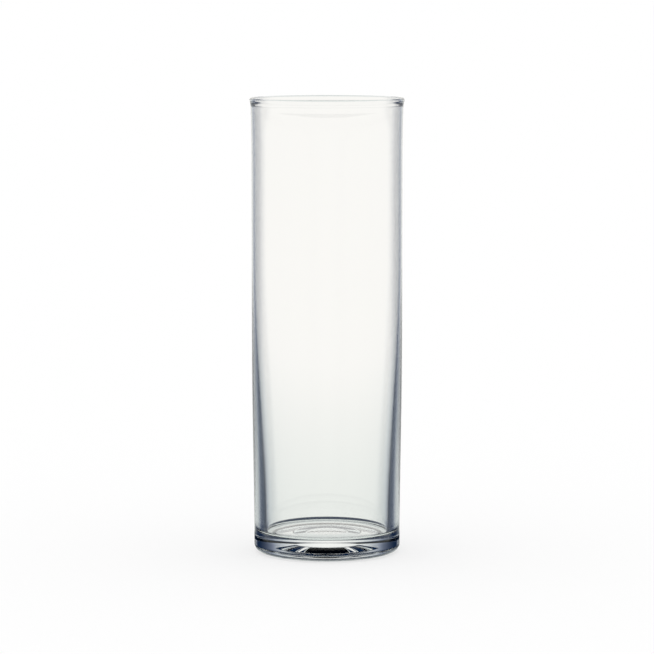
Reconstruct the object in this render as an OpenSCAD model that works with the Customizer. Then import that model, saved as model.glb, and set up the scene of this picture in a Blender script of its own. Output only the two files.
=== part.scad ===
// Highball glass: one tall, straight-sided, thick-footed tumbler of clear soda-lime glass.
// The glass is a single moulded and fire-polished piece, a body of revolution about the Z axis.
// Lengths are in millimetres and angles in degrees. The origin is the centre of the resting
// plane, and +Z points up towards the lip.

/* [Body] */
// Height from the resting plane to the top of the lip
height = 171.4; // [130:0.2:210]
// Outside diameter of the straight part of the body
body_d = 56.6; // [46:0.2:70]
// How far the body draws in at the foot, on the radius
foot_draft = 0.85; // [0:0.05:1.5]
// Height over which the body draws in towards the foot
draft_h = 76; // [50:1:100]

/* [Lip] */
// Thickness of the fire-polished bead that ends the wall
bead_d = 1.7; // [1.5:0.05:2.2]
// How far the bead stands out beyond the straight body, on the radius
lip_flare = 0.75; // [0.4:0.05:1.2]
// How far the wall itself leans out below the lip, on the radius
neck_flare = 0.3; // [0:0.05:0.5]
// Height over which the wall leans out below the lip
flare_h = 20; // [12:1:30]
// Height over which the wall swells into the bead
swell_h = 2.6; // [2:0.1:4]

/* [Wall] */
// Wall thickness in the thin upper part
wall_top = 1; // [0.9:0.05:1.4]
// Wall thickness at the level of the floor
wall_foot = 4.4; // [3:0.1:6]
// Height above the resting plane at which the wall starts to thicken
thicken_z = 112; // [80:1:125]

/* [Base] */
// Thickness of the glass under the middle of the floor, above the resting plane
base_t = 8.2; // [6:0.1:12]
// How far the floor dips from its middle to its edge
floor_crown = 0.2; // [0:0.05:0.8]
// Radius of the corner between the floor and the wall, inside
floor_corner_r = 1.4; // [1:0.1:4]
// How far the heel, the outer corner at the bottom, rounds in towards the middle
heel_w = 4.8; // [3:0.1:6.5]
// Height of the rounded heel
heel_h = 2.7; // [2:0.1:5]

/* [Underside] */
// Width of the flat ring that the glass stands on
ring_w = 1.5; // [1:0.1:4]
// Width over which the underside rises from that ring to the flat sole
edge_w = 1.5; // [1.4:0.05:2]
// Height of the flat sole above the resting plane
sole_h = 2; // [0.5:0.1:2.5]
// Share of the radius inside the ring that the punt takes, the raised middle of the sole
punt_share = 0.6; // [0.5:0.01:0.7]
// Share of the punt's radius that its flat top takes
punt_top_share = 0.62; // [0.5:0.01:0.7]
// Height of the punt's top above the sole
punt_rise = 1.7; // [0.5:0.1:2.2]
// Width over which the bends of the underside are rounded, to each side of a bend
bend_w = 0.45; // [0.2:0.05:0.45]

/* [Hidden] */
// Radii that the wall follows
body_r = body_d / 2;
foot_r = body_r - foot_draft;
lip_r = body_r + lip_flare;
bead_r = bead_d / 2;

// The bead's centre, and the level at which the wall starts to swell into it
bead_centre = [lip_r - bead_r, height - bead_r];
neck_z = height - bead_r - swell_h;

// Lean of the wall at that level, as millimetres out for each millimetre up
neck_lean = 2 * neck_flare / flare_h;

// Number of straight steps that stand for each curve
wall_steps = 30;
swell_steps = 6;
bead_steps = 20;
corner_steps = 12;
floor_steps = 8;
bend_steps = 6;
turn_fn = 180;

// Share of the way from 0 to 1, eased at both ends
function eased(share) = let (s = min(max(share, 0), 1)) s * s * (3 - 2 * s);

// Points of a rounded corner about its centre, w wide and h high, from one angle to another
function corner(centre, w, h, from, to) =
    [for (i = [0:corner_steps])
        let (a = from + (to - from) * i / corner_steps)
        centre + [w * cos(a), h * sin(a)]];

// Outside radius of the wall at a height, without the bead
function outer_r(z) =
    foot_r
    + foot_draft * eased(z / draft_h)
    + neck_flare * pow(max(z - (neck_z - flare_h), 0) / flare_h, 2);

// Wall thickness at a height
function wall_t(z) =
    wall_top + (wall_foot - wall_top) * eased((thicken_z - z) / (thicken_z - base_t));

// Inside radius of the wall at a height
function inner_r(z) = outer_r(z) - wall_t(z);

// The inside corner sits on the wall above and on the crowned floor beside it
corner_z = base_t - floor_crown + floor_corner_r;
corner_centre = [inner_r(corner_z) - floor_corner_r, corner_z];
floor_r = corner_centre.x;

// The heel rounds the foot down to the resting ring
heel_centre = [outer_r(heel_h) - heel_w, heel_h];

// Radii of the underside's bends, inside the resting ring
hollow_r = heel_centre.x - ring_w;
edge_r = hollow_r - bend_w;
sole_r = hollow_r - edge_w;
punt_r = hollow_r * punt_share;
punt_top_r = punt_r * punt_top_share;

// Slopes between those bends, as millimetres up for each millimetre in
edge_slope = sole_h / (edge_r - sole_r);
punt_slope = punt_rise / (punt_r - punt_top_r);

// Points up the outside, from the heel to where the wall swells
function heel() = corner(heel_centre, heel_w, heel_h, -90, 0);
function outside() =
    [for (i = [1:wall_steps]) let (z = heel_h + (neck_z - heel_h) * i / wall_steps) [outer_r(z), z]];

// Angle by which the bead is met, for a side of the wall that moves out this far to reach it
function meeting(out) = atan(2 * out / swell_h - neck_lean);
bead_outer_angle = -meeting(lip_r - outer_r(neck_z));
bead_inner_angle = 180 - meeting(lip_r - bead_d - inner_r(neck_z));

// A point on the bead's round
function on_bead(angle) = bead_centre + bead_r * [cos(angle), sin(angle)];

// Points from a side of the wall up to the bead, both ends left out. They leave the wall with its
// lean and meet the bead along its round
function swell(start_r, end) =
    let (rise = end.y - neck_z, lean = neck_lean * rise)
    [for (i = [1:swell_steps - 1])
        let (s = i / swell_steps)
        [start_r + lean * s + (end.x - start_r - lean) * s * s, neck_z + rise * s]];

// The lip, up the outside, over the bead and down the inside
function lip_outside() = swell(outer_r(neck_z), on_bead(bead_outer_angle));
function bead() =
    [for (i = [0:bead_steps])
        on_bead(bead_outer_angle + (bead_inner_angle - bead_outer_angle) * i / bead_steps)];
function lip_inside() =
    let (points = swell(inner_r(neck_z), on_bead(bead_inner_angle)))
    [for (i = [len(points) - 1:-1:0]) points[i]];

// Points down the inside, from below the lip to the inside corner
function inside() =
    [for (i = [0:wall_steps - 1]) let (z = neck_z + (corner_z - neck_z) * i / wall_steps) [inner_r(z), z]];
function inside_corner() = corner(corner_centre, floor_corner_r, floor_corner_r, 0, -90);

// The crowned floor, from its edge to its middle
function floor_line() =
    [for (i = [1:floor_steps])
        let (s = i / floor_steps)
        [floor_r * (1 - s), base_t - floor_crown * pow(1 - s, 2)]];

// Length run past a bend, rounded over the bend's width on both sides of it
function bent(run) = abs(run) < bend_w ? pow(run + bend_w, 2) / (4 * bend_w) : max(run, 0);

// Height of the underside above the resting plane, at a radius
function hollow_z(r) =
    edge_slope * (bent(edge_r - r) - bent(sole_r - r))
    + punt_slope * (bent(punt_r - r) - bent(punt_top_r - r));

// Points of the underside, from the middle of the punt out to the resting ring
function hollow() =
    concat(
        [[0, sole_h + punt_rise]],
        [for (bend_r = [punt_top_r, punt_r, sole_r, edge_r], i = [0:bend_steps])
            let (r = bend_r + bend_w * (2 * i / bend_steps - 1))
            [r, hollow_z(r)]]
    );

// The whole glass, one turned outline
module tumbler() {
    color("azure", 0.35)
    rotate_extrude($fn = turn_fn)
    polygon(concat(heel(), outside(), lip_outside(), bead(), lip_inside(),
        inside(), inside_corner(), floor_line(), hollow()));
}

tumbler();
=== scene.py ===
"""A clear highball glass on a pale studio floor, seen nearly level against a white background.

Clear glass has no colour of its own to show: it is drawn by what it bends into view. So the room that the
glass sees has a white backdrop with a dark card on each side of it and a dark canopy over the floor, as a
photographer sets them up to draw the edges of a glass. On the floor round the foot the glass also sees
painted shadow: a dark ring, and a faint darkening that fades out from the foot. The camera itself sees only
white and the glass's shadow.
"""
import math

import bpy
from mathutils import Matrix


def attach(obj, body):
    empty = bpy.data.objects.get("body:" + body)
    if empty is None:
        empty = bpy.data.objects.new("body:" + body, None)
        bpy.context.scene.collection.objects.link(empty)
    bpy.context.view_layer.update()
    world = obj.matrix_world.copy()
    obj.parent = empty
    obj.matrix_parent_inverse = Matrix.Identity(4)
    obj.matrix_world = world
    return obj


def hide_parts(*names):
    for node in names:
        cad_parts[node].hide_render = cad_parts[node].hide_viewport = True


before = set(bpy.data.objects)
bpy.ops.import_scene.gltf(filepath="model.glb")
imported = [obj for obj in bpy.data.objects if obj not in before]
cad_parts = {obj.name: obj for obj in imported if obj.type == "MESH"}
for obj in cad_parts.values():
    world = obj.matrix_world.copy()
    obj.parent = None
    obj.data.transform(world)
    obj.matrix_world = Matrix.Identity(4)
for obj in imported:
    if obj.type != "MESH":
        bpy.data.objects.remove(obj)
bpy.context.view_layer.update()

MM = 0.001

# Outline of the glass, in millimetres, as the CAD part has it. The height is a hundredth less and the lip's
# flare three hundredths, to stay inside the box of the CAD part's faceted mesh
HEIGHT = 171.39
BODY_D = 56.6
FOOT_DRAFT = 0.85
DRAFT_H = 76
BEAD_D = 1.7
LIP_FLARE = 0.72
NECK_FLARE = 0.3
FLARE_H = 20
SWELL_H = 2.6
WALL_TOP = 1.0
WALL_FOOT = 4.4
THICKEN_Z = 112
BASE_T = 8.2
FLOOR_CROWN = 0.2
FLOOR_CORNER_R = 1.4
HEEL_W = 4.8
HEEL_H = 2.7
RING_W = 1.5
EDGE_W = 1.5
SOLE_H = 2.0
PUNT_SHARE = 0.6
PUNT_TOP_SHARE = 0.62
PUNT_RISE = 1.7
BEND_W = 0.45

# Steps that stand for the curves of the turned outline, much finer than in the CAD part
TURN_STEPS = 192
WALL_STEPS = 70
SWELL_STEPS = 12
BEAD_STEPS = 24
CORNER_STEPS = 14
FLOOR_STEPS = 20
BEND_STEPS = 10

# Glass: its index of refraction, its tint, and how dense the tint is in a metre of glass
IOR = 1.52
TINT = (0.80, 0.87, 0.86)
TINT_DENSITY = 5.0

# Camera, in millimetres and degrees: a little higher than the glass, it looks down at the glass's middle
CAMERA_AZIMUTH = 22.5
CAMERA_DISTANCE = 1213
CAMERA_HEIGHT = 214
CAMERA_TILT = 6.06
CAMERA_LENS = 178.4
CAMERA_SENSOR = 36

# Room: how bright the backdrop is, by the angle in degrees from its middle. The dark cards go on from
# there to where they end, and the walls beyond are as bright as the backdrop's middle
WALLS = ((0, 1.0), (14, 0.95), (24, 0.70), (33, 0.40), (39, 0.16), (48, 0.05), (60, 0.0))
CARD_END = (66, 82)

# The same below the horizon. Each four are two elevations in degrees, and the values at them: the factor by
# which the backdrop is narrower, and the degrees by which the cards are shorter
NARROWER = (0, -6, 1.0, 1.2)
SHORTER = (0, -2, 0.0, 15.0)

# Elevations between which the ceiling turns dark, and those between which the pale ground takes over
CEILING = (30, 50)
GROUND = (-14, -22)

# Colours of the room. The walls' tones go by the share of dark in them: the backdrop's white turns to a blue
# grey before it turns dark
WHITE = (1.0, 1.0, 1.0)
BACKDROP = (0.965, 0.955, 0.925)
DARK = (0.005, 0.017, 0.048)
TONES = ((0, BACKDROP), (0.3, (0.643, 0.673, 0.685)), (0.75, (0.220, 0.250, 0.325)), (1, DARK))
GROUND_LIGHT = (0.84, 0.86, 0.84)

# Floor, in millimetres: its reach, and the soft edges of its dark ring, a painted shadow round the foot that
# only the glass sees. Then where the painted shade that the glass sees on the floor near the foot fades
# away, the colour of that painted shade at the foot, and the share of the floor's light that the glass can
# shade
FLOOR_REACH = 30000
SHADOW_RING_START = (31, 34)
SHADOW_RING_END = (50, 60)
PAINTED_SHADE_FADE = (50, 450)
PAINTED_SHADE_NEAR = (0.86, 0.895, 0.885)
SHADOW_SHARE = 0.35

# Canopy, in millimetres: its height, the radius of its hole, and its soft outer edge, by the distance from
# the middle of the foot
CANOPY_Z = 165
CANOPY_HOLE = 40
CANOPY_EDGE = (640, 860)
CANOPY_STEPS = 96


def eased(share):
    """Share of the way from 0 to 1, eased at both ends."""
    s = min(max(share, 0), 1)
    return s * s * (3 - 2 * s)


def corner(centre, width, height, start, end):
    """Points of a rounded corner about its centre, from one angle to another, both ends included."""
    points = []
    for i in range(CORNER_STEPS + 1):
        a = math.radians(start + (end - start) * i / CORNER_STEPS)
        points.append((centre[0] + width * math.cos(a), centre[1] + height * math.sin(a)))
    return points


def outer_r(z):
    """Outside radius of the wall at a height, without the lip."""
    lean = max(z - (neck_z() - FLARE_H), 0) / FLARE_H
    return BODY_D / 2 - FOOT_DRAFT * (1 - eased(z / DRAFT_H)) + NECK_FLARE * lean ** 2


def inner_r(z):
    """Inside radius of the wall at a height."""
    thickening = eased((THICKEN_Z - z) / (THICKEN_Z - BASE_T))
    return outer_r(z) - WALL_TOP - (WALL_FOOT - WALL_TOP) * thickening


def neck_z():
    """Level at which the wall starts to swell into the lip's bead."""
    return HEIGHT - BEAD_D / 2 - SWELL_H


def swell(start_r, end):
    """Points from a side of the wall up to the bead, both ends left out."""
    rise = end[1] - neck_z()
    lean = 2 * NECK_FLARE / FLARE_H * rise
    points = []
    for i in range(1, SWELL_STEPS):
        s = i / SWELL_STEPS
        points.append((start_r + lean * s + (end[0] - start_r - lean) * s * s, neck_z() + rise * s))
    return points


def lip():
    """Points from where the wall starts to swell, over the bead and down the inside to the same level."""
    lip_r = BODY_D / 2 + LIP_FLARE
    radius = BEAD_D / 2
    lean = 2 * NECK_FLARE / FLARE_H
    outer, inner = outer_r(neck_z()), inner_r(neck_z())
    start = -math.atan(2 * (lip_r - outer) / SWELL_H - lean)
    end = math.pi - math.atan(2 * (lip_r - BEAD_D - inner) / SWELL_H - lean)
    bead = []
    for i in range(BEAD_STEPS + 1):
        a = start + (end - start) * i / BEAD_STEPS
        bead.append((lip_r - radius + radius * math.cos(a), HEIGHT - radius + radius * math.sin(a)))
    return swell(outer, bead[0]) + bead + swell(inner, bead[-1])[::-1]


def bent(run):
    """How far past a bend, rounded over the bend's width on both sides of it."""
    if abs(run) < BEND_W:
        return (run + BEND_W) ** 2 / (4 * BEND_W)
    return max(run, 0)


def hollow(rim_r):
    """Points of the underside, from the axis out: the punt, the flat sole and the edge down to the ring."""
    edge_r = rim_r - BEND_W
    sole_r = rim_r - EDGE_W
    punt_r = rim_r * PUNT_SHARE
    punt_top_r = punt_r * PUNT_TOP_SHARE
    edge_slope = SOLE_H / (edge_r - sole_r)
    punt_slope = PUNT_RISE / (punt_r - punt_top_r)
    points = [(0, SOLE_H + PUNT_RISE)]
    for bend_r in (punt_top_r, punt_r, sole_r, edge_r):
        for i in range(BEND_STEPS + 1):
            r = bend_r + BEND_W * (2 * i / BEND_STEPS - 1)
            edge = edge_slope * (bent(edge_r - r) - bent(sole_r - r))
            punt = punt_slope * (bent(punt_r - r) - bent(punt_top_r - r))
            points.append((r, edge + punt))
    return points


def outline():
    """The turned outline, from the resting ring up the outside, over the lip and down to the hollow."""
    heel_centre = (outer_r(HEEL_H) - HEEL_W, HEEL_H)
    corner_z = BASE_T - FLOOR_CROWN + FLOOR_CORNER_R
    corner_centre = (inner_r(corner_z) - FLOOR_CORNER_R, corner_z)

    points = corner(heel_centre, HEEL_W, HEEL_H, -90, 0)
    for i in range(1, WALL_STEPS + 1):
        z = HEEL_H + (neck_z() - HEEL_H) * i / WALL_STEPS
        points.append((outer_r(z), z))
    points += lip()
    for i in range(WALL_STEPS):
        z = neck_z() + (corner_z - neck_z()) * i / WALL_STEPS
        points.append((inner_r(z), z))
    points += corner(corner_centre, FLOOR_CORNER_R, FLOOR_CORNER_R, 0, -90)
    for i in range(1, FLOOR_STEPS + 1):
        s = i / FLOOR_STEPS
        points.append((corner_centre[0] * (1 - s), BASE_T - FLOOR_CROWN * (1 - s) ** 2))
    return points + hollow(heel_centre[0] - RING_W)


def circle(r, z, steps):
    """Points of a level circle about the Z axis, in metres, from a radius and a height in millimetres."""
    angles = [2 * math.pi * k / steps for k in range(steps)]
    return [(r * MM * math.cos(a), r * MM * math.sin(a), z * MM) for a in angles]


def band(lower, upper):
    """Faces between two rings of vertex numbers. One of the rings can be a single vertex."""
    faces = []
    steps = max(len(lower), len(upper))
    for k in range(steps):
        n = (k + 1) % steps
        if len(lower) == 1:
            faces.append((lower[0], upper[n], upper[k]))
        elif len(upper) == 1:
            faces.append((lower[k], lower[n], upper[0]))
        else:
            faces.append((lower[k], lower[n], upper[n], upper[k]))
    return faces


def meshed(name, vertices, faces):
    """An object in the scene with a mesh of these vertices, in metres, and these faces."""
    mesh = bpy.data.meshes.new(name)
    mesh.from_pydata(vertices, [], faces)
    mesh.update()
    thing = bpy.data.objects.new(name, mesh)
    bpy.context.scene.collection.objects.link(thing)
    return thing


def turned(name, points):
    """A closed surface of revolution. A point on the axis becomes a single vertex."""
    vertices = []
    rings = []
    for r, z in points:
        steps = TURN_STEPS if r > 0 else 1
        rings.append(range(len(vertices), len(vertices) + steps))
        vertices += circle(r, z, steps)
    faces = []
    for lower, upper in zip(rings, rings[1:] + rings[:1]):
        if len(lower) > 1 or len(upper) > 1:
            faces += band(lower, upper)
    thing = meshed(name, vertices, faces)
    thing.data.polygons.foreach_set("use_smooth", [True] * len(faces))
    return thing


class Nodes:
    """Short calls to build a node tree."""

    def __init__(self, tree):
        self.tree = tree
        tree.nodes.clear()

    def add(self, kind, values=None, **settings):
        """A node with its settings. The values go to its input sockets, by their names or numbers."""
        node = self.tree.nodes.new(kind)
        for key, value in settings.items():
            setattr(node, key, value)
        for key, value in (values or {}).items():
            self.put(value, node.inputs[key])
        return node

    def put(self, value, socket):
        """Links a socket or a node's first output, or sets a colour or a number."""
        if isinstance(value, bpy.types.Node):
            value = value.outputs[0]
        if isinstance(value, bpy.types.NodeSocket):
            self.tree.links.new(value, socket)
        elif isinstance(value, tuple):
            socket.default_value = (*value, 1)
        else:
            socket.default_value = value

    def math(self, operation, *values):
        return self.add("ShaderNodeMath", dict(enumerate(values)), operation=operation)

    def smooth(self, value, start, end, low=0.0, high=1.0):
        """Goes softly from low to high as the value goes from start to end."""
        values = dict(enumerate((value, start, end, low, high)))
        return self.add("ShaderNodeMapRange", values, interpolation_type="SMOOTHSTEP")

    def ramp(self, value, stops, interpolation):
        """Colour by a value from 0 to 1. Each stop is a place and a colour."""
        node = self.add("ShaderNodeValToRGB", {0: value})
        node.color_ramp.interpolation = interpolation
        marks = node.color_ramp.elements
        while len(marks) < len(stops):
            marks.new(0.5)
        for mark, (place, colour) in zip(marks, stops):
            mark.position = place
            mark.color = (*colour, 1)
        return node

    def mix_colours(self, share, first, second):
        """The mix node's sockets for colours are its inputs 6 and 7 and its output 2."""
        values = {"Factor": share, 6: first, 7: second}
        return self.add("ShaderNodeMix", values, data_type="RGBA").outputs[2]

    def mix_shaders(self, share, first, second):
        return self.add("ShaderNodeMixShader", {0: share, 1: first, 2: second})

    def seen_by_glass(self):
        """1 for a ray that the glass has bent or mirrored, and 0 for all others."""
        path = self.add("ShaderNodeLightPath").outputs
        return self.math("MAXIMUM", path["Is Glossy Ray"], path["Is Transmission Ray"])

    def from_foot(self):
        """Distance of a point from the middle of the glass's foot, in millimetres."""
        place = self.add("ShaderNodeNewGeometry").outputs["Position"]
        length = self.add("ShaderNodeVectorMath", {0: place}, operation="LENGTH")
        return self.math("DIVIDE", length.outputs["Value"], MM)


def new_material(name):
    """A material, and the calls to build its nodes."""
    material = bpy.data.materials.new(name)
    material.use_nodes = True
    return material, Nodes(material.node_tree)


def glass_material():
    """Clear glass. Its faint tint comes from absorption, so thick parts show more of it."""
    material, nodes = new_material("clear_glass")
    shader = nodes.add("ShaderNodeBsdfPrincipled", {
        "Base Color": WHITE, "Roughness": 0.0, "IOR": IOR, "Transmission Weight": 1.0})
    tint = nodes.add("ShaderNodeVolumeAbsorption", {"Color": TINT, "Density": TINT_DENSITY})
    nodes.add("ShaderNodeOutputMaterial", {"Surface": shader, "Volume": tint})
    return material


def room():
    """World light: plain white for the camera and for soft light, and the room for the glass."""
    world = bpy.data.worlds.new("room")
    bpy.context.scene.world = world
    world.use_nodes = True
    nodes = Nodes(world.node_tree)

    direction = nodes.add("ShaderNodeTexCoord").outputs["Generated"]
    turn = {"Vector": direction, "Angle": -math.radians(CAMERA_AZIMUTH)}
    turned_to_camera = nodes.add("ShaderNodeVectorRotate", turn, rotation_type="Z_AXIS")
    split = nodes.add("ShaderNodeSeparateXYZ", {0: turned_to_camera}).outputs
    sideways = nodes.math("ABSOLUTE", split["X"])
    azimuth = nodes.math("DEGREES", nodes.math("ARCTAN2", sideways, split["Y"]))
    elevation = nodes.math("DEGREES", nodes.math("ARCSINE", split["Z"]))

    narrowed = nodes.math("MULTIPLY", azimuth, nodes.smooth(elevation, *NARROWER))
    half_turn = math.degrees(math.pi)
    stops = [(angle / half_turn, (light, light, light)) for angle, light in WALLS]
    bright = nodes.ramp(nodes.math("DIVIDE", narrowed, half_turn), stops, "B_SPLINE")
    beyond = nodes.math("ADD", azimuth, nodes.smooth(elevation, *SHORTER))
    lasts = nodes.smooth(beyond, *CARD_END, 1.0, 0.0)
    card = nodes.math("MULTIPLY", nodes.math("SUBTRACT", 1.0, bright), lasts)
    dark = nodes.math("MAXIMUM", card, nodes.smooth(elevation, *CEILING))

    walls = nodes.ramp(dark, TONES, "LINEAR")
    all_round = nodes.mix_colours(nodes.smooth(elevation, *GROUND), walls, GROUND_LIGHT)
    seen = nodes.mix_colours(nodes.seen_by_glass(), WHITE, all_round)
    background = nodes.add("ShaderNodeBackground", {"Color": seen, "Strength": 1.0})
    nodes.add("ShaderNodeOutputWorld", {"Surface": background})


def floor():
    """Pale floor with the glass's shadow. For the glass it is clear, with painted shadow round the foot: a
    dark ring and a faint darkening towards the foot.
    """
    reach = FLOOR_REACH * MM
    corners = [(-reach, -reach, 0), (reach, -reach, 0), (reach, reach, 0), (-reach, reach, 0)]
    thing = meshed("floor", corners, [(0, 1, 2, 3)])
    material, nodes = new_material("floor")
    thing.data.materials.append(material)

    paint = nodes.add("ShaderNodeBsdfDiffuse", {"Color": (SHADOW_SHARE, SHADOW_SHARE, SHADOW_SHARE)})
    glow = nodes.add("ShaderNodeEmission", {"Color": WHITE, "Strength": 1 - SHADOW_SHARE})
    pale = nodes.add("ShaderNodeAddShader", {0: paint, 1: glow})

    # Painted shadow that only the glass sees: the clear floor darkens towards the foot, and a dark ring lies
    # round it
    distance = nodes.from_foot()
    near_shade = nodes.mix_colours(nodes.smooth(distance, *PAINTED_SHADE_FADE), PAINTED_SHADE_NEAR, WHITE)
    clear = nodes.add("ShaderNodeBsdfTransparent", {"Color": near_shade})
    # The dark ring round the foot is painted shadow, a dark glow that only the glass sees
    shade = nodes.add("ShaderNodeEmission", {"Color": DARK, "Strength": 1.0})
    begins = nodes.smooth(distance, *SHADOW_RING_START)
    lasts = nodes.smooth(distance, *SHADOW_RING_END, 1.0, 0.0)
    shadow_ringed = nodes.mix_shaders(nodes.math("MULTIPLY", begins, lasts), clear, shade)

    surface = nodes.mix_shaders(nodes.seen_by_glass(), pale, shadow_ringed)
    nodes.add("ShaderNodeOutputMaterial", {"Surface": surface})


def canopy():
    """A dark card over the floor, with a hole for the glass. Only the glass sees it, and only from below."""
    edge = circle(CANOPY_EDGE[1], CANOPY_Z, CANOPY_STEPS)
    hole = circle(CANOPY_HOLE, CANOPY_Z, CANOPY_STEPS)
    faces = band(range(CANOPY_STEPS), range(CANOPY_STEPS, 2 * CANOPY_STEPS))
    thing = meshed("canopy", edge + hole, faces)
    material, nodes = new_material("canopy")
    thing.data.materials.append(material)

    lasts = nodes.smooth(nodes.from_foot(), *CANOPY_EDGE, 1.0, 0.0)
    from_below = nodes.add("ShaderNodeNewGeometry").outputs["Backfacing"]
    there = nodes.math("MULTIPLY", nodes.math("MULTIPLY", nodes.seen_by_glass(), lasts), from_below)
    clear = nodes.add("ShaderNodeBsdfTransparent", {"Color": WHITE})
    shade = nodes.add("ShaderNodeEmission", {"Color": DARK, "Strength": 1.0})
    surface = nodes.mix_shaders(there, clear, shade)
    nodes.add("ShaderNodeOutputMaterial", {"Surface": surface})


def camera():
    """The camera at the photograph's viewing angle."""
    data = bpy.data.cameras.new("camera")
    data.lens = CAMERA_LENS
    data.sensor_width = CAMERA_SENSOR
    thing = bpy.data.objects.new("camera", data)
    a = math.radians(CAMERA_AZIMUTH)
    distance = CAMERA_DISTANCE * MM
    thing.location = (distance * math.sin(a), -distance * math.cos(a), CAMERA_HEIGHT * MM)
    thing.rotation_euler = (math.radians(90 - CAMERA_TILT), 0, a)
    bpy.context.scene.collection.objects.link(thing)
    bpy.context.scene.camera = thing


glass = turned("highball_glass", outline())
glass.data.materials.append(glass_material())
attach(glass, "root")
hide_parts("tumbler")

room()
floor()
canopy()
camera()
bpy.context.scene.view_settings.view_transform = "Standard"
